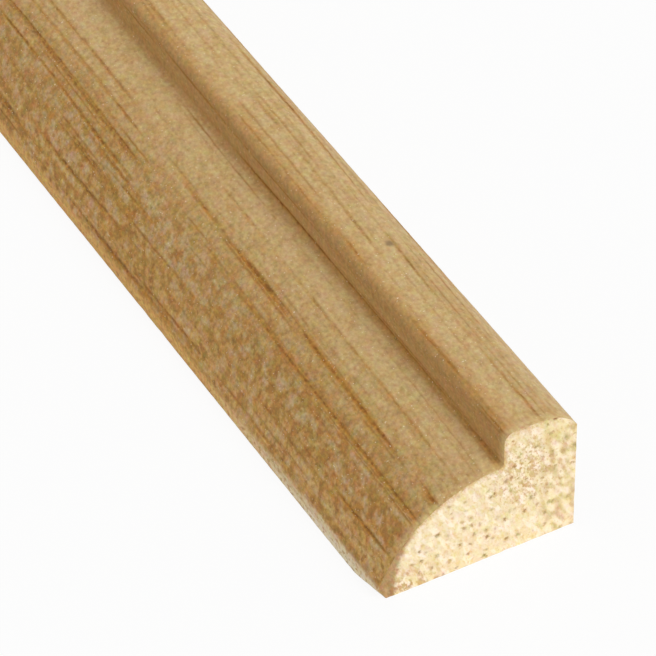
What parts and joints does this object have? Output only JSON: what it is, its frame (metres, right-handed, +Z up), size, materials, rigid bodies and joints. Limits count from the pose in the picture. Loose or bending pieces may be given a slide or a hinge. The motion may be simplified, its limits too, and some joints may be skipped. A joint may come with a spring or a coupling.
{
  "type": "glass bead moulding",
  "caption": "Slim timber glazing bead with a quirked ovolo face, a flat shoulder and a square back, sold by the length.",
  "frame": {"origin": "middle of the flat base that the stick lies on", "axes": "+X across the stick from the thin toe to the tall back, +Y along the stick, +Z up from the base to the shoulder"},
  "size_m": [0.017, 2.4, 0.012],
  "materials": {
    "timber": "bare, planed and lightly sanded, open grained"
  },
  "bodies": {
    "root": {"glass_bead": "timber"}
  },
  "joints": []
}
